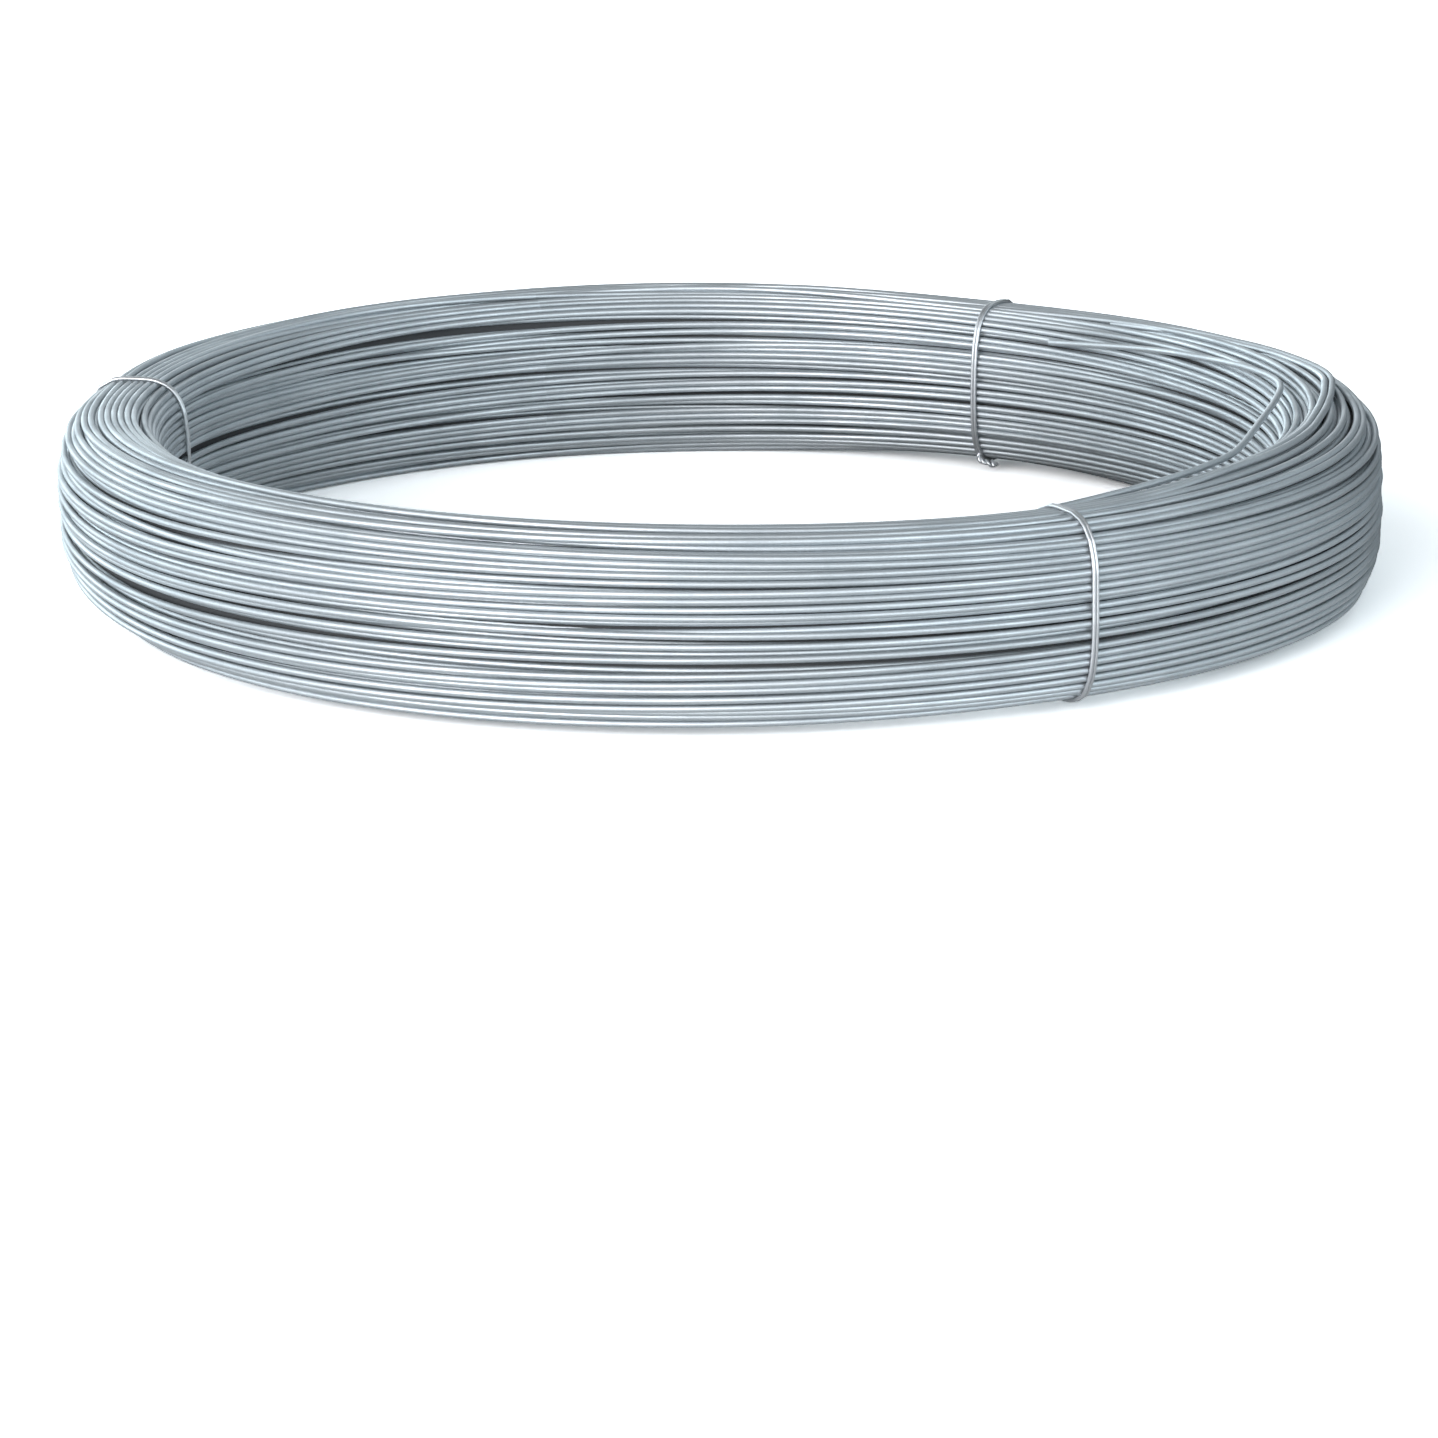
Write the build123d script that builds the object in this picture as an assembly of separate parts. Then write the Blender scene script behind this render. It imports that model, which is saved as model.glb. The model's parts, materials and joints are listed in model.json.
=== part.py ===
"""A coil of galvanized wire that lies flat: one wound wire, held by three doubled tie wires.

Millimetres. The coil's axis is Z, its base lies on Z = 0, and the side at -Y is its front.
"""
from build123d import *
import os
from math import asin, cos, degrees, radians, sin

# Driving dimensions of the wound wire
wire_diameter = 3.4
bore_diameter = 560.0
bundle_thickness = 55.0
coil_height = 96.0
# The turns show on each rounded end up to this many degrees from its crest, down to the valleys between them
turns_half_angle = 20.0
valley_depth = 1.1
# The shoulders beside them are rounded in this many straight runs, down to a long gap between groups of turns
shoulder_runs = 2
gap_angle = 68.0
gap_width = 4.0
gap_depth = 3.0

# Driving dimensions of the ties: each goes round the bundle twice, side by side
tie_wire_diameter = 1.8
# How far a tie's crests lie below the bundle's surface, in the waist that it presses in
tie_recess = 0.2
tie_side_clearance = 0.15
# A tie's twisted ends stand on the lower inner shoulder, this many degrees round from the bore wall
knot_angle = 45.0
knot_height = 6.0
knot_diameter = 3.2
# Where each tie is, in degrees about the axis from the front towards +X
front_tie_angle = 30.5
back_tie_angle = 149.5
left_tie_angle = 260.0

# The bundle's section stands on end: two straight walls between the gaps, and two round ends
bore_radius = bore_diameter / 2
outer_radius = bore_radius + bundle_thickness
end_radius = bundle_thickness / 2
section_middle = bore_radius + end_radius
wall_height = coil_height - 2 * end_radius
mid_height = coil_height / 2
upper_end = mid_height + wall_height / 2
lower_end = mid_height - wall_height / 2

tie_crest = end_radius - tie_recess
tie_floor = tie_crest - tie_wire_diameter
waist_half_angle = degrees(asin((tie_wire_diameter + tie_side_clearance) / bore_radius))
ties = {"tie_wire_front": front_tie_angle, "tie_wire_back": back_tie_angle, "tie_wire_left": left_tie_angle}


def end_point(radius, angle):
    """A point of the section, radius from the upper end's centre and angle degrees outward from its crest."""
    return section_middle + radius * sin(radians(angle)), upper_end + radius * cos(radians(angle))


def shoulder(side, reach):
    """Points from the turns to the wall's top, with the gap before it. side is 1 outside, -1 in the bore."""
    half_gap = degrees(gap_width / 2 / end_radius)
    run_angle = (gap_angle - half_gap - reach) / shoulder_runs
    points = [end_point(end_radius, side * (reach + run * run_angle)) for run in range(shoulder_runs + 1)]
    points.append(end_point(end_radius - gap_depth, side * gap_angle))
    wall_top = upper_end + end_radius * cos(radians(gap_angle + half_gap))
    return points + [(section_middle + side * end_radius, wall_top)]


def end_outline():
    """The upper end from the bore wall to the outer wall: shoulder, the turns as valleys and crests, shoulder."""
    turn_angle = degrees(wire_diameter / end_radius)
    # an odd number, so that one turn lies on the crest
    turns = 2 * int(turns_half_angle / turn_angle) + 1
    reach = turns * turn_angle / 2
    points = shoulder(-1, reach)[::-1]
    for turn in range(turns):
        start = turn * turn_angle - reach
        points.append(end_point(end_radius - valley_depth, start))
        points.append(end_point(end_radius, start + turn_angle / 2))
    points.append(end_point(end_radius - valley_depth, reach))
    return Polyline(*points, *shoulder(1, reach))


def bundle_section():
    """The bundle's section in the XZ plane, with the turns on both ends."""
    outline = end_outline()
    upper_half = Curve() + [
        Line((bore_radius, mid_height), outline @ 0),
        outline,
        Line(outline @ 1, (outer_radius, mid_height)),
    ]
    lower_half = mirror(upper_half, Plane.XZ.offset(-mid_height))
    return Plane.XZ * make_face(upper_half + lower_half)


def slot(radius):
    """The plain slot round the section's middle, in the XZ plane."""
    return Plane.XZ * Pos(section_middle, mid_height) * SlotCenterToCenter(wall_height, 2 * radius, 90)


def round_the_coil(angle, solid):
    """Turn a solid that was made at +X to its place round the coil."""
    return Rot(0, 0, angle - 90) * solid


def turned(section, start, stop):
    """A stretch of the ring from one angle to another."""
    return round_the_coil(start, revolve(section, Axis.Z, stop - start))


def wire_coil():
    """The wound wire as one turned ring, whose section is smaller in the waist under each tie."""
    wound, pressed_in = bundle_section(), slot(tie_floor)
    places = sorted(ties.values())
    stretches = []
    for tie, next_tie in zip(places, places[1:] + [places[0] + 360]):
        stretches.append(turned(pressed_in, tie - waist_half_angle, tie + waist_half_angle))
        stretches.append(turned(wound, tie + waist_half_angle, next_tie - waist_half_angle))
    return Part() + stretches


def strands_section():
    """The two strands of a tie side by side, a ridge for each, where the outer wall meets the upper end."""
    crest, valley, strand = tie_wire_diameter, tie_wire_diameter / 2, tie_wire_diameter
    outline = [(0, -strand), (0, strand), (crest, strand / 2), (valley, 0), (crest, -strand / 2)]
    return Plane((section_middle + tie_floor, 0, upper_end)) * make_face(Polyline(*outline, close=True))


def tie_wire():
    """One tie at +X: over the upper end, down both walls, round the lower end, and its twisted ends."""
    strands = strands_section()
    upper = revolve(strands, Axis((section_middle, 0, upper_end), (0, -1, 0)), 180)
    outer_run = extrude(strands, -wall_height)
    half = upper + outer_run
    # the other half is the same, turned half a turn about the section's middle
    middle = Pos(section_middle, 0, mid_height)
    other_half = middle * Rot(0, 180, 0) * middle.inverse() * half
    return half + other_half + knot()


def knot():
    """The twisted ends, cut short, standing out from the lower inner shoulder."""
    foot = Pos(section_middle, 0, lower_end) * Rot(0, -90 - knot_angle, 0) * Pos(0, 0, tie_floor)
    return foot * extrude(RegularPolygon(knot_diameter / 2, 6), knot_height + tie_wire_diameter, taper=3)


os.makedirs("parts", exist_ok=True)
export_step(wire_coil(), "parts/wire_coil.step")
for name, angle in ties.items():
    export_step(round_the_coil(angle, tie_wire()), f"parts/{name}.step")
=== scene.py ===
import json
from math import atan2, cos, degrees, pi, radians, sin, tau

import bpy
import numpy as np
from mathutils import Euler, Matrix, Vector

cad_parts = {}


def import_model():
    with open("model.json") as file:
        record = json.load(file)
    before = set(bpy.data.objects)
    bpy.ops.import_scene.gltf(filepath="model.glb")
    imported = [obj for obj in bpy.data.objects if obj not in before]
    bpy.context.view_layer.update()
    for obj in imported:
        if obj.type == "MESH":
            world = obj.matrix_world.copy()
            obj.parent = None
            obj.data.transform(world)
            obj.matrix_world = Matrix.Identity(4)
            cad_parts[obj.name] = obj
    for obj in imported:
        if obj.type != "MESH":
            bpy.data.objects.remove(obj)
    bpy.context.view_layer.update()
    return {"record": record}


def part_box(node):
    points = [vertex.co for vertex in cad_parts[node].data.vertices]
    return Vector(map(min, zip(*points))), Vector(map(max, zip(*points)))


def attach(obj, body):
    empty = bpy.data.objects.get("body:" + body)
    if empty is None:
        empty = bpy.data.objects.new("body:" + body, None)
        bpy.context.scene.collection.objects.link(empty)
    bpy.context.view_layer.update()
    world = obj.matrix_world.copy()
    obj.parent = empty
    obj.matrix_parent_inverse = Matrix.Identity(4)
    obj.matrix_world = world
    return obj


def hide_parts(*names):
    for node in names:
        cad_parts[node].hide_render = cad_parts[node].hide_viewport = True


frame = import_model()

# Sizes, in metres. The coil's own come from the frame, and angles are about its axis, in degrees
# from the front (-Y) towards +X.
ring_low, ring_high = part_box("wire_coil")
bore_mount = next(m for m in frame["record"]["mounts"] if m["name"] == "bore")
BORE_RADIUS = bore_mount["dims"]["r_mm"] / 1000
OUTER_RADIUS = ring_high.x
COIL_HEIGHT = ring_high.z
WIRE = 0.0034
TIE_WIRE = 0.0018
# How far inside the coil's own size the wires stay
CLEARANCE = 0.00005


def tie_angle(node):
    """Where a tie is, from its node's box."""
    low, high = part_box(node)
    middle = (low + high) / 2
    return degrees(atan2(middle.x, -middle.y))


TIE_ANGLES = {node: tie_angle(node) for node in ("tie_wire_front", "tie_wire_back", "tie_wire_left")}
SLACK_SIDE = -89
FRONT = 0
CROSSING_SIDE = 80

# The bundle's section is a superellipse with this exponent
SECTION_POWER = 3.2
# Where the bundle is drawn in from the coil's full size: angle, reach to each side, and how far in
# millimetres at the top, bottom, outside and bore side
DRAWN_IN = (
    (TIE_ANGLES["tie_wire_front"], 30, 4.0, 3.9, 0.6, 0.6),
    (TIE_ANGLES["tie_wire_back"], 30, 5.0, 4.6, 0.6, 0.8),
    (TIE_ANGLES["tie_wire_left"], 26, 1.5, 1.6, 2.0, 0.6),
    (SLACK_SIDE, 41, 4.5, 13.0, 1.5, -2.0),
    (FRONT, 57, 0.3, 3.0, 0.6, 0.0),
    (CROSSING_SIDE, 34, 1.6, 0.0, 0.0, 0.0),
)

# How finely the wire is settled and drawn, as stations in a turn, and where its first turn begins
STATIONS = 120
DRAWN_STATIONS = 240
SEAM_ANGLE = 200
# How its layers are laid, and the sides of the tube that draws each of them, outer layer first
LAYERS = 2
LAYER_STEP = 0.88 * WIRE
LAY_PITCH = 1.20 * WIRE
SIDES = (10, 8)
# A piece has at most this many triangles and turns, and each turn has a row of its own in the map
MOST_TRIANGLES = 190_000
MAP_ROWS = 45

# How far neighbouring turns wander together, as a share of the section's length
SHARED_DRIFT = 0.010
# How a turn wanders by itself: over how many stations, how far in turns, and how deep it sinks in wires
LONE_REACH = 14
LONE_DRIFT = 0.45
LONE_SINK = 0.36

# Settling: how many rounds, how many turns count as near, after how many rounds they are looked up
# again, the share of an overlap that each turn gives way by, and how much further it then moves
ROUNDS = 130
NEAR_TURNS = 16
NEAR_ROUNDS = 10
GIVE_WAY = 0.45
OVERSHOOT = 1.3
# How far along the wire a push on it spreads, in stations, and how much of its unevenness its own
# spring takes out in a round
STIFFNESS = 3.5
SPRING = 0.12

# How many turns beside a gap share in making room for it
GAP_FADE = 10
# Long gaps between neighbouring turns: place round the section as a share from the bottom, outer wall
# first, at the gap's lower and upper angle, then its middle angle, reach to each side, and width in wires
GAPS = (
    (0.362, 0.388, -76, 40, 6.0),
    (0.378, 0.366, -24, 30, 1.2),
    (0.392, 0.382, 4, 22, 1.6),
    (0.290, 0.305, -40, 30, 1.4),
    (0.232, 0.182, -36, 46, 5.6),
    (0.240, 0.228, 4, 24, 1.3),
    (0.248, 0.282, 48, 26, 2.2),
    (0.238, 0.180, 50, 30, 1.8),
    (0.104, 0.132, 52, 28, 2.6),
    (0.150, 0.135, -55, 30, 1.6),
    (0.584, 0.618, 124, 36, 3.6),
    (0.787, 0.772, 138, 24, 2.2),
    (0.700, 0.690, 118, 26, 1.6),
    (0.764, 0.722, 232, 42, 4.8),
    (0.636, 0.652, 216, 32, 2.8),
    (0.892, 0.876, 222, 32, 2.8),
    (0.680, 0.670, 180, 28, 1.6),
    (0.820, 0.835, 176, 28, 1.8),
    (0.450, 0.462, 92, 38, 2.4),
    (0.505, 0.492, 108, 32, 2.0),
    (0.545, 0.535, 84, 26, 1.6),
    (0.520, 0.530, 250, 34, 1.6),
    (0.475, 0.470, 20, 30, 1.4),
)

# Turns that lie loose on the bundle, as rows of angle, radius and height in millimetres. The first cuts
# a corner of the bore, and the other two lie side by side on the upper end.
LOOSE_TURNS = (
    ((140, 284, 78), (126, 283, 84), (115, 283, 88), (107, 284, 91), (101, 286, 92.6), (96.5, 287.6, 93),
     (92.6, 286.2, 93), (87, 281, 92.8), (81, 277, 92.6), (75, 275.6, 92.5), (69, 277.4, 92.5),
     (63, 282, 92.6), (57, 287.2, 92.8), (49, 290, 92.6), (40, 290.5, 91), (28, 291, 87)),
    ((138, 304, 90), (126, 304.5, 92.6), (116, 307, 93.8), (110, 311, 94.2), (104, 314.4, 94.2), (99, 316, 94.2),
     (95, 314.6, 94.2), (91, 311, 94.2), (86, 307.4, 94.2), (79, 304.4, 94.2), (70, 304.4, 94.2),
     (61, 304.8, 94.2), (52, 304.6, 94), (43, 306, 92), (34, 308, 90)),
    ((134, 300, 90), (122, 301.4, 92.6), (113, 305.4, 93.6), (107, 309, 94), (101, 311.8, 94), (96, 311.4, 94.1),
     (92, 308, 94.2), (87, 304.4, 94.2), (80, 301, 94.2), (71, 300.8, 94.2), (62, 301.2, 94), (53, 301, 92.6),
     (44, 302, 90)),
)

# A tie's twisted ends: where they stand, in degrees down from the bore wall, their path as rows of
# millimetres outward and to the side, and how often they turn about each other
KNOT_ANGLE = 45
KNOT_PATH = ((-1, 0), (1.4, 0.3), (3.4, 1.6), (4.4, 4.4), (4.8, 8), (5.4, 12))
KNOT_TURNS = 2.5
# Beyond this share of their length the two ends spread apart, by this much more at their tips
FLARE_FROM = 0.75
FLARE = 1.2
# The sides of a tie's tubes, the points round a strand, and the map's rows: two strands and the ends
TIE_SIDES = 10
TIE_POINTS = 97
TIE_ROWS = 3

# How many points a loose turn and a tie's end have for each one that is given, and the core's sides
LOOSE_STEPS = 14
KNOT_STEPS = 8
CORE_SIDES = 28

rng = np.random.default_rng(11)


def station_angles(count):
    """Angles of evenly spaced stations round the coil, in radians, beginning at the seam."""
    return radians(SEAM_ANGLE) + tau * np.arange(count) / count


def bump(angle, centre, reach):
    """1 at the centre, falling smoothly to 0 at reach degrees from it. The angle is in radians."""
    away = (np.degrees(angle) - centre + 180) % 360 - 180
    return np.where(abs(away) < reach, (1 + np.cos(pi * away / reach)) / 2, 0.0)


def section_box(angle, depth=0.0):
    """The middle (radius, height) and half sizes of the bundle's section, depth inside its surface."""
    top, bottom, outside, inside = (
        sum(row[side] / 1000 * bump(angle, row[0], row[1]) for row in DRAWN_IN) for side in range(2, 6))
    depth = depth + CLEARANCE
    outer, inner = OUTER_RADIUS - outside - depth, BORE_RADIUS + inside + depth
    high, low = COIL_HEIGHT - top - depth, bottom + depth
    middle = np.stack([(outer + inner) / 2, (high + low) / 2], -1)
    half = np.stack([(outer - inner) / 2, (high - low) / 2], -1)
    return middle, half


def outline_shape():
    """The section's outline with half sizes of 1, and each point's share of the real length round it."""
    turn = np.linspace(0, tau, 1441)
    power = 2 / SECTION_POWER
    x = np.sign(np.sin(turn)) * abs(np.sin(turn)) ** power
    z = -np.sign(np.cos(turn)) * abs(np.cos(turn)) ** power
    _, half = section_box(np.radians(FRONT))
    length = np.concatenate([[0], np.cumsum(np.hypot(np.diff(x * half[0]), np.diff(z * half[1])))])
    return length / length[-1], x, z, length[-1]


def section_point(share, angle, depth):
    """A point (radius, height) on the outline that lies depth inside the bundle's surface."""
    at, x, z, _ = outline_shape()
    middle, half = section_box(angle, depth)
    return middle + half * np.stack([np.interp(share % 1, at, x), np.interp(share % 1, at, z)], -1)


def smooth_noise(count, reach):
    """Random numbers along the wire, smoothed over reach stations to a spread of 1."""
    steps = np.arange(-3 * reach, 3 * reach + 1)
    kernel = np.exp(-0.5 * (steps / reach) ** 2)
    noise = np.convolve(rng.normal(size=count + 6 * reach), kernel, "valid")
    return noise / np.sqrt((kernel**2).sum())


def shared_drift(share, angle):
    """How neighbouring turns wander together across the section, as a share of its length."""
    drift = np.zeros_like(share)
    for across in range(1, 8):
        for along in range(1, 4):
            size = rng.normal() * SHARED_DRIFT / (across * along) ** 0.7
            drift += size * np.cos(across * tau * share + along * angle + rng.uniform(0, tau))
    return drift


def parted(share, angle, pitch):
    """How far the gaps push the turns beside them aside."""
    aside = np.zeros_like(share)
    for low, high, centre, reach, width in GAPS:
        along = (np.degrees(angle) - centre + 180) % 360 - 180
        place = (low + high) / 2 + (high - low) / 2 * np.clip(along / reach, -1, 1)
        away = share - place
        fade = np.exp(-abs(away) / (GAP_FADE * pitch))
        aside += np.sign(away) * fade * width * pitch / 2 * bump(angle, centre, reach)
    return aside


def lay_turns():
    """First places of every turn, from the innermost layer out: (turns, stations, 2), and each turn's layer."""
    angle = station_angles(STATIONS)
    length = outline_shape()[-1]
    laid, layers = [], []
    for layer in reversed(range(LAYERS)):
        depth = WIRE / 2 + layer * LAYER_STEP
        count = int((length - tau * depth) / LAY_PITCH)
        share = (np.arange(count * STATIONS) / (count * STATIONS)).reshape(count, STATIONS)
        lone = LONE_DRIFT / count * smooth_noise(share.size, LONE_REACH).reshape(share.shape)
        moved = share + shared_drift(share, angle) + lone + parted(share, angle, 1 / count)
        sunk = depth + LONE_SINK * WIRE * abs(smooth_noise(share.size, LONE_REACH)).reshape(share.shape)
        laid.append(section_point(moved, np.broadcast_to(angle, share.shape), sunk))
        layers += [layer] * count
    return np.concatenate(laid), np.array(layers)


def near_turns(places):
    """For each turn, the turns that come nearest to it, at every fourth station."""
    coarse = places[:, ::4]
    away = np.linalg.norm(coarse[:, None] - coarse[None], axis=-1).min(-1)
    np.fill_diagonal(away, np.inf)
    return np.argsort(away, axis=1)[:, :NEAR_TURNS]


def stiff(change):
    """The same change of the wire's places, spread along the wire as a stiff wire would spread it."""
    chain = change.reshape(-1, 2)
    rate = np.fft.rfftfreq(len(chain))[:, None]
    softened = np.fft.rfft(chain, axis=0) * np.exp(-0.5 * (tau * rate * STIFFNESS) ** 2)
    return np.fft.irfft(softened, len(chain), axis=0).reshape(change.shape)


def kept_between(places, outer, core):
    """Places moved into the bundle's outline and out of its core's."""
    for (middle, half), keep_out in ((outer, False), (core, True)):
        away = places - middle
        level = (abs(away / half) ** SECTION_POWER).sum(-1) ** (1 / SECTION_POWER)
        limit = np.minimum(level, 1) if keep_out else np.maximum(level, 1)
        places = middle + away / limit[..., None]
    return places


def settle(places):
    """Push turns that overlap apart, and keep them inside the bundle and off its core."""
    angle = station_angles(STATIONS)
    outer, core = section_box(angle, WIRE / 2), section_box(angle, WIRE / 2 + LAYERS * LAYER_STEP)
    for step in range(ROUNDS):
        if step % NEAR_ROUNDS == 0:
            near = near_turns(places)
        apart = places[:, None] - places[near]
        gap = np.linalg.norm(apart, axis=-1, keepdims=True) + 1e-9
        pushed = places + (GIVE_WAY * np.clip(WIRE - gap, 0, None) / gap * apart).sum(1)
        change = kept_between(pushed, outer, core) - places
        places = places + OVERSHOOT * stiff(change)
        away = places - outer[0]
        places = places + SPRING * (stiff(away) - away)
    return places


def finer(chain, factor):
    """More points on the same smooth line, as a Catmull-Rom spline."""
    padded = np.concatenate([2 * chain[:1] - chain[1:2], chain, 2 * chain[-1:] - chain[-2:-1]])
    before, start, end, after = padded[:-3], padded[1:-2], padded[2:-1], padded[3:]
    out = []
    for t in np.arange(factor) / factor:
        out.append(0.5 * (2 * start + (end - before) * t + (2 * before - 5 * start + 4 * end - after) * t**2
                          + (3 * start - before - 3 * end + after) * t**3))
    return np.concatenate([np.stack(out, 1).reshape(-1, chain.shape[1]), chain[-1:]])


def in_space(places, angle):
    """Places (radius, height) at angles round the coil, as points in space."""
    radius, height = places[..., 0], places[..., 1]
    return np.stack([radius * np.sin(angle), -radius * np.cos(angle), height], -1)


def carried_direction(tangent):
    """A direction across the line that turns as little as it can along it."""
    side = np.cross(tangent[0], [0.3, 0.2, 1.0])
    carried = []
    for t in tangent:
        side = side - (side @ t) * t
        side /= np.linalg.norm(side)
        carried.append(side)
    return np.array(carried)


def tube(points, radius, sides, outward=None):
    """Rings of points along a line. outward is a direction for each point, roughly across the line."""
    tangent = np.gradient(points, axis=0)
    tangent /= np.linalg.norm(tangent, axis=1, keepdims=True)
    if outward is None:
        outward = carried_direction(tangent)
    across = outward - (outward * tangent).sum(1, keepdims=True) * tangent
    across /= np.linalg.norm(across, axis=1, keepdims=True)
    other = np.cross(tangent, across)
    turn = tau * np.arange(sides) / sides
    ring = np.cos(turn)[:, None] * across[:, None] + np.sin(turn)[:, None] * other[:, None]
    return points[:, None] + radius * ring


class Mesh:
    """Tubes collected into one mesh, mapped so that each stretch of a tube has a row of its own."""

    def __init__(self):
        self.points, self.faces, self.sizes, self.map, self.count = [], [], [], [], 0

    def add(self, rings, rows, row_length=None):
        """Skin the rings and cap both ends. Each row_length of them gets one of the rows (low, high)."""
        length, sides, _ = rings.shape
        row_length = row_length or length - 1
        index = self.count + np.arange(length * sides).reshape(length, sides)
        beside = np.roll(index, -1, 1)
        quads = np.stack([index[:-1], beside[:-1], beside[1:], index[1:]], -1).reshape(-1, 4)
        row, place = np.divmod(np.arange(length - 1), row_length)
        low, high = np.asarray(rows, float)[row].T
        x = np.stack([place, place, place + 1, place + 1], -1)[:, None] / row_length
        y = np.arange(sides)[:, None] + np.array([0, 1, 1, 0])
        y = low[:, None, None] + (high - low)[:, None, None] * y / sides
        self.map.append(np.stack(np.broadcast_arrays(x, y), -1).reshape(-1, 2))
        self.points += [rings.reshape(-1, 3), rings[0], rings[-1]]
        caps = self.count + length * sides + np.arange(2 * sides).reshape(2, sides)
        self.faces += [quads.ravel(), caps[0][::-1], caps[1]]
        self.sizes += [np.full(len(quads), 4), np.full(2, sides)]
        self.map.append(np.broadcast_to([0.0, rows[0][0]], (2 * sides, 2)))
        self.count += (length + 2) * sides

    def piece(self, name, material, slot):
        """The collected tubes as one piece that rides on the coil."""
        points, faces = np.concatenate(self.points), np.concatenate(self.faces)
        sizes, uv = np.concatenate(self.sizes), np.concatenate(self.map)
        mesh = bpy.data.meshes.new(name)
        mesh.vertices.add(len(points))
        mesh.vertices.foreach_set("co", points.ravel())
        mesh.loops.add(len(faces))
        mesh.loops.foreach_set("vertex_index", faces)
        mesh.polygons.add(len(sizes))
        mesh.polygons.foreach_set("loop_start", np.concatenate([[0], np.cumsum(sizes)[:-1]]))
        mesh.polygons.foreach_set("use_smooth", np.ones(len(sizes), bool))
        mesh.uv_layers.new(name="OFBake").uv.foreach_set("vector", uv.ravel())
        mesh.update(calc_edges=True)
        mesh.materials.append(material)
        piece = bpy.data.objects.new(name, mesh)
        bpy.context.scene.collection.objects.link(piece)
        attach(piece, "root")
        return piece


# Materials
class Nodes:
    """The node tree of a material or a world, with short ways to add to it."""

    def __init__(self, owner, shader):
        owner.use_nodes = True
        self.owner, self.tree = owner, owner.node_tree
        self.shader = self.tree.nodes[shader]

    def put(self, socket, value):
        if isinstance(value, bpy.types.NodeSocket):
            self.tree.links.new(value, socket)
        else:
            socket.default_value = value

    def add(self, kind, inputs, **settings):
        node = self.tree.nodes.new(kind)
        for key, value in settings.items():
            setattr(node, key, value)
        for key, value in inputs.items():
            self.put(node.inputs[key], value)
        return node

    def math(self, operation, a, b):
        return self.add("ShaderNodeMath", {0: a, 1: b}, operation=operation).outputs[0]

    def mapped(self, value, low, high, to_low, to_high):
        inputs = {"Value": value, "From Min": low, "From Max": high, "To Min": to_low, "To Max": to_high}
        return self.add("ShaderNodeMapRange", inputs).outputs["Result"]

    def mix(self, share, a, b, blend="MIX"):
        inputs = {0: share, 6: a, 7: b}
        return self.add("ShaderNodeMix", inputs, data_type="RGBA", blend_type=blend).outputs[2]

    def noise(self, place, scale, detail):
        inputs = {"Vector": place, "Scale": scale, "Detail": detail}
        return self.add("ShaderNodeTexNoise", inputs).outputs["Fac"]

    def plug(self, name, value):
        self.put(self.shader.inputs[name], value)


def surface(name):
    """The nodes of a new material."""
    return Nodes(bpy.data.materials.new(name), "Principled BSDF")


# Zinc: streaks across a wire, and the scales of its cloudy patches and its grain
STREAKS_ACROSS = 9.0
CLOUD_SCALE = 38.0
GRAIN_SCALE = 900.0


def zinc(name, colour, dull, roughness, rows, streak):
    """Galvanized wire: a tint for each turn, streaks drawn along it, cloudy dull patches and fine grain.

    rows is how many turns the map holds, and streak is how often the streaks change along one of them.
    """
    m = surface(name)
    split = m.add("ShaderNodeSeparateXYZ", {"Vector": m.add("ShaderNodeUVMap", {}, uv_map="OFBake").outputs[0]})
    row = m.math("MULTIPLY", split.outputs["Y"], rows)
    turn = m.math("FLOOR", row, 0.0)
    along = m.math("MULTIPLY", split.outputs["X"], streak)
    across = m.math("MULTIPLY", row, STREAKS_ACROSS)
    drawn = m.add("ShaderNodeCombineXYZ", {"X": along, "Y": across}).outputs[0]
    place = m.add("ShaderNodeTexCoord", {}).outputs["Object"]

    tint = m.add("ShaderNodeTexWhiteNoise", {"W": turn}, noise_dimensions="1D").outputs["Value"]
    streaks = m.noise(drawn, 1.0, 4.0)
    clouds = m.noise(place, CLOUD_SCALE, 5.0)
    grain = m.noise(place, GRAIN_SCALE, 2.0)

    dullness = m.math("ADD", m.mapped(streaks, 0.35, 0.75, 0.0, 0.35), m.mapped(clouds, 0.40, 0.75, 0.0, 0.45))
    base = m.mix(dullness, (*colour, 1), (*dull, 1))
    shade = m.mapped(tint, 0.0, 1.0, 0.88, 1.06)
    shade = m.math("MULTIPLY", shade, m.mapped(grain, 0.3, 0.7, 0.96, 1.03))
    shade = m.add("ShaderNodeCombineColor", {0: shade, 1: shade, 2: shade}).outputs[0]
    m.plug("Base Color", m.mix(1.0, base, shade, "MULTIPLY"))
    m.plug("Metallic", 0.92)
    m.plug("Roughness", m.mapped(dullness, 0.0, 0.8, roughness - 0.05, roughness + 0.14))
    bumps = m.add("ShaderNodeBump", {"Strength": 0.25, "Distance": 0.0001, "Height": grain})
    m.plug("Normal", bumps.outputs["Normal"])
    return m.owner


def grey(value):
    """A grey as a colour with full alpha."""
    return (value, value, value, 1)


def matt(name, value):
    """The nodes of a material of one grey that mirrors nothing."""
    m = surface(name)
    m.plug("Base Color", grey(value))
    m.plug("Roughness", 1.0)
    m.plug("Specular IOR Level", 0.0)
    return m


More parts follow.
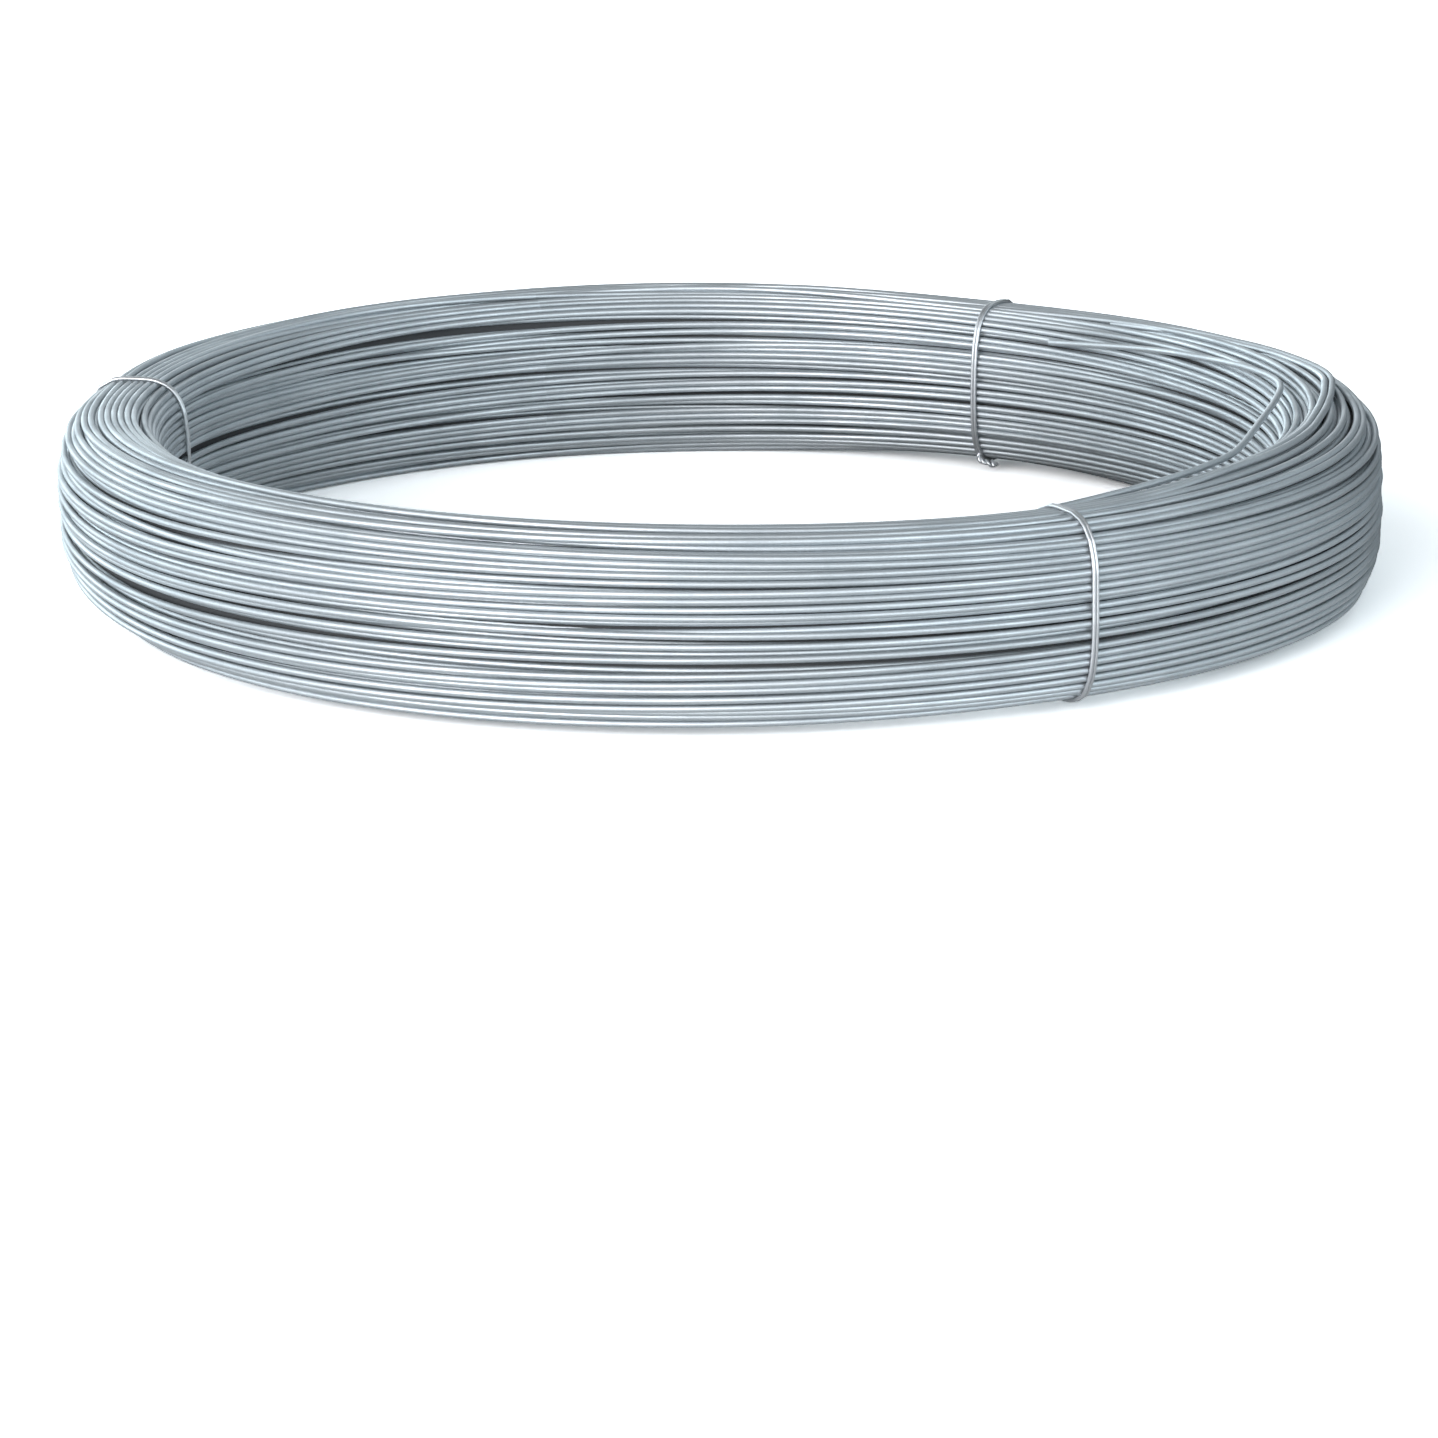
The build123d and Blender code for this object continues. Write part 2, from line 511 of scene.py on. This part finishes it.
wire_zinc = zinc("galvanized_wire", (0.60, 0.64, 0.67), (0.40, 0.44, 0.47), 0.52, MAP_ROWS, 24.0)
tie_zinc = zinc("tie_wire", (0.66, 0.68, 0.70), (0.46, 0.48, 0.51), 0.40, TIE_ROWS, 6.0)
# The bundle's core is near-black: painted shade that shows in the deep gaps between the turns, where the real
# coil has more wire lying in shadow.
core_shade = surface("painted_shade_core")
core_shade.plug("Base Color", (0.03, 0.032, 0.035, 1))
core_shade.plug("Roughness", 0.8)


# The pieces
def draw_wound_wire(places, layers):
    """The wire as one tube, cut at the seam into pieces of whole turns."""
    line = finer(places.reshape(-1, 2), DRAWN_STATIONS // STATIONS)
    angle = radians(SEAM_ANGLE) + tau * np.arange(len(line)) / DRAWN_STATIONS
    points = in_space(line, angle)
    outward = in_space(np.stack([np.ones(len(line)), np.zeros(len(line))], -1), angle)
    start, number = 0, 0
    while start < len(layers):
        sides = SIDES[layers[start]]
        fits = MOST_TRIANGLES // (2 * sides * DRAWN_STATIONS)
        same = int((layers[start:] == layers[start]).sum())
        count = -(-same // -(-same // fits))
        here = slice(start * DRAWN_STATIONS, (start + count) * DRAWN_STATIONS + 1)
        mesh = Mesh()
        rows = [(n / MAP_ROWS, (n + 1) / MAP_ROWS) for n in range(count)]
        mesh.add(tube(points[here], WIRE / 2, sides, outward[here]), rows, DRAWN_STATIONS)
        number += 1
        piece = mesh.piece(f"wire_turns_{number}", wire_zinc, "galvanized_wire")
        if number == 1:
            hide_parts("wire_coil")
        start += count


def draw_loose_turns():
    """The turns that lie loose, whose ends dive into the bundle."""
    mesh = Mesh()
    for number, rows in enumerate(LOOSE_TURNS):
        angle, radius, height = np.array(rows, float).T
        line = finer(in_space(np.stack([radius, height], -1) / 1000, np.radians(angle)), LOOSE_STEPS)
        mesh.add(tube(line, WIRE / 2, SIDES[0]), [(number / MAP_ROWS, (number + 1) / MAP_ROWS)])
    mesh.piece("loose_turns", wire_zinc, "galvanized_wire")


def draw_core():
    """The hidden middle of the bundle, as one plain dark ring: near-black painted shade that shows through the
    gaps between the turns.
    """
    angle = np.append(station_angles(STATIONS), radians(SEAM_ANGLE) + tau)[:, None]
    share = np.arange(CORE_SIDES) / CORE_SIDES
    depth = LAYERS * LAYER_STEP + 0.1 * WIRE
    rings = section_point(share, np.broadcast_to(angle, (len(angle), CORE_SIDES)), depth)
    mesh = Mesh()
    mesh.add(in_space(rings, angle), [(0.0, 1.0)])
    mesh.piece("painted_shade_core", core_shade.owner, "galvanized_wire")


def taut_line(places, centre_angle, out):
    """Where a strand lies round the wires at one angle, pulled tight, in the directions out."""
    station = (centre_angle - SEAM_ANGLE) % 360 / 360 * STATIONS
    at = places[:, int(round(station)) % STATIONS]
    furthest = (at @ out.T).argmax(0)
    return in_space(at[furthest] + out * (WIRE / 2 + TIE_WIRE / 2), radians(centre_angle))


def twisted_ends(places, centre_angle, along_coil):
    """The lines of a tie's two cut ends, twisted about each other and bent along the coil."""
    out = np.array([[-cos(radians(KNOT_ANGLE)), -sin(radians(KNOT_ANGLE))]])
    foot = taut_line(places, centre_angle, out)
    outward, aside = np.array(KNOT_PATH).T[..., None] / 1000
    path = finer(foot + outward * in_space(out, radians(centre_angle)) - aside * along_coil, KNOT_STEPS)
    tangent = np.gradient(path, axis=0)
    tangent /= np.linalg.norm(tangent, axis=1, keepdims=True)
    across = carried_direction(tangent)
    other = np.cross(tangent, across)
    along = np.linspace(0, 1, len(path))[:, None]
    spread = TIE_WIRE / 2 * (1 + FLARE * np.clip(along - FLARE_FROM, 0, 1) / (1 - FLARE_FROM))
    for start in (0, pi):
        turn = start + tau * KNOT_TURNS * along
        yield path + spread * (np.cos(turn) * across + np.sin(turn) * other)


def draw_ties(places):
    """Each tie's two strands side by side round the bundle, and its twisted ends."""
    turn = np.linspace(0, tau, TIE_POINTS)
    out = np.stack([np.cos(turn), np.sin(turn)], -1)
    for name, angle in TIE_ANGLES.items():
        along_coil = np.array([cos(radians(angle)), sin(radians(angle)), 0])
        mesh = Mesh()
        for strand, side in enumerate((-1, 1)):
            loop = taut_line(places, angle, out) + side * TIE_WIRE / 2 * along_coil
            mesh.add(tube(loop, TIE_WIRE / 2, TIE_SIDES), [(strand / TIE_ROWS, (strand + 1) / TIE_ROWS)])
        for line in twisted_ends(places, angle, along_coil):
            mesh.add(tube(line, TIE_WIRE / 2, TIE_SIDES), [(2 / TIE_ROWS, 1)])
        piece = mesh.piece(f"{name}_strands", tie_zinc, "tie_wire")
        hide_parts(name)


turns, turn_layers = lay_turns()
turns = settle(turns)
draw_wound_wire(turns, turn_layers)
draw_loose_turns()
draw_core()
draw_ties(turns)


# Camera, floor and light. The studio is painted on its own colour in this order: azimuth from the front,
# elevation, how far from there the paint is full and where it ends, in degrees, and its colour
STUDIO_COLOUR = (0.70, 0.70, 0.70, 1)
STUDIO = (
    (110, 10, 30, 55, (0.54, 0.62, 0.66)),
    (0, 90, 30, 60, (0.20, 0.21, 0.22)),
    (180, 42, 12, 26, (0.30, 0.31, 0.32)),
    (140, 32, 14, 28, (0.70, 0.80, 0.85)),
    (-116, 5, 16, 32, (3.0, 3.45, 3.6)),
    (-62, 4, 12, 26, (1.9, 2.1, 2.2)),
    (0, 6, 16, 30, (1.35, 1.35, 1.35)),
    (-33, 30, 11, 23, (2.4, 2.4, 2.4)),
    (-33, 8, 13, 24, (10.6, 10.5, 10.6)),
    (162, -4, 16, 24, (0.02, 0.02, 0.02)),
    (180, 15, 9, 17, (1.25, 1.35, 1.4)),
    (-160, 2, 10, 20, (3.3, 3.85, 4.05)),
    (44, 5, 16, 32, (3.3, 3.75, 3.95)),
)
# The dark card that the coil's right side mirrors, as the corners of its foot and its height, in metres
DARK_CARD = ((0.56, 1.04), (1.7, 0.7), 0.7)
CARD_GREY = 0.01
# The floor's greys: as it lights the coil, as it is mirrored, and as the camera sees it, which is white
# but for the coil's shadow
FLOOR_LIT = 0.8
FLOOR_MIRRORED = 0.66
FLOOR_SEEN = 2.0
# Behind the coil's right side the floor is mirrored dark: the middle, how far from it the dark is full
# and where it ends, and its grey
DARK_SPOT = (0.56, 0.42)
DARK_REACH = (0.40, 0.54)
DARK_GREY = 0.02


def camera():
    """The photograph's view: from the front, a little above the coil, through a long lens."""
    distance, elevation, pitch, roll = 2.4655, radians(12.3), radians(15.11), radians(0.18)
    focal_pixels, frame_pixels, sensor_mm = 4847, 1438, 36
    data = bpy.data.cameras.new("camera")
    data.sensor_width = sensor_mm
    data.lens = focal_pixels / frame_pixels * sensor_mm
    data.clip_end = 50
    cam = bpy.data.objects.new("camera", data)
    cam.location = (0, -distance * cos(elevation), COIL_HEIGHT / 2 + distance * sin(elevation))
    cam.rotation_euler = Euler((pi / 2 - pitch, 0, 0))
    cam.rotation_euler.rotate_axis("Z", -roll)
    bpy.context.scene.collection.objects.link(cam)
    bpy.context.scene.camera = cam


def world():
    """The studio round the coil, with soft boxes and dark walls painted on it."""
    w = Nodes(bpy.data.worlds.new("world"), "Background")
    looked = w.add("ShaderNodeTexCoord", {}).outputs["Generated"]
    painted = STUDIO_COLOUR
    for azimuth, elevation, full, faded, colour in STUDIO:
        a, e = radians(azimuth), radians(elevation)
        middle = (sin(a) * cos(e), -cos(a) * cos(e), sin(e))
        near = w.add("ShaderNodeVectorMath", {0: looked, 1: middle}, operation="DOT_PRODUCT").outputs["Value"]
        edge = {"Value": near, "From Min": cos(radians(faded)), "From Max": cos(radians(full))}
        share = w.add("ShaderNodeMapRange", edge, interpolation_type="SMOOTHSTEP").outputs["Result"]
        painted = w.mix(share, painted, (*colour, 1))
    w.plug("Color", painted)
    bpy.context.scene.world = w.owner


def flat_sheet(name, corners, material):
    """A rectangle of the studio."""
    mesh = bpy.data.meshes.new(name)
    mesh.from_pydata(corners, [], [(0, 1, 2, 3)])
    mesh.materials.append(material)
    sheet = bpy.data.objects.new(name, mesh)
    bpy.context.scene.collection.objects.link(sheet)
    return sheet


def floor():
    """A plain floor that looks as white as the background, but for the coil's shadow."""
    m = matt("floor", FLOOR_LIT)
    path = m.add("ShaderNodeLightPath", {}).outputs
    mirrored = m.math("MAXIMUM", path["Is Glossy Ray"], path["Is Transmission Ray"])
    place = m.add("ShaderNodeTexCoord", {}).outputs["Object"]
    away = m.add("ShaderNodeVectorMath", {0: place, 1: (*DARK_SPOT, 0)}, operation="DISTANCE").outputs["Value"]
    shown = m.mix(m.mapped(away, *DARK_REACH, 0.0, 1.0), grey(DARK_GREY), grey(FLOOR_MIRRORED))
    colour = m.mix(mirrored, grey(FLOOR_LIT), shown)
    m.plug("Base Color", m.mix(path["Is Camera Ray"], colour, grey(FLOOR_SEEN)))
    size = 5
    plane = flat_sheet("floor", [(-size, -size, 0), (size, -size, 0), (size, size, 0), (-size, size, 0)], m.owner)


def dark_card():
    """A black card out of the picture, so that the coil's right side mirrors nothing bright."""
    (x, y), (far_x, far_y), height = DARK_CARD
    corners = [(x, y, 0), (far_x, far_y, 0), (far_x, far_y, height), (x, y, height)]
    card = flat_sheet("dark_card", corners, matt("black_card", CARD_GREY).owner)


camera()
floor()
dark_card()
world()
bpy.context.scene.view_settings.view_transform = "Standard"
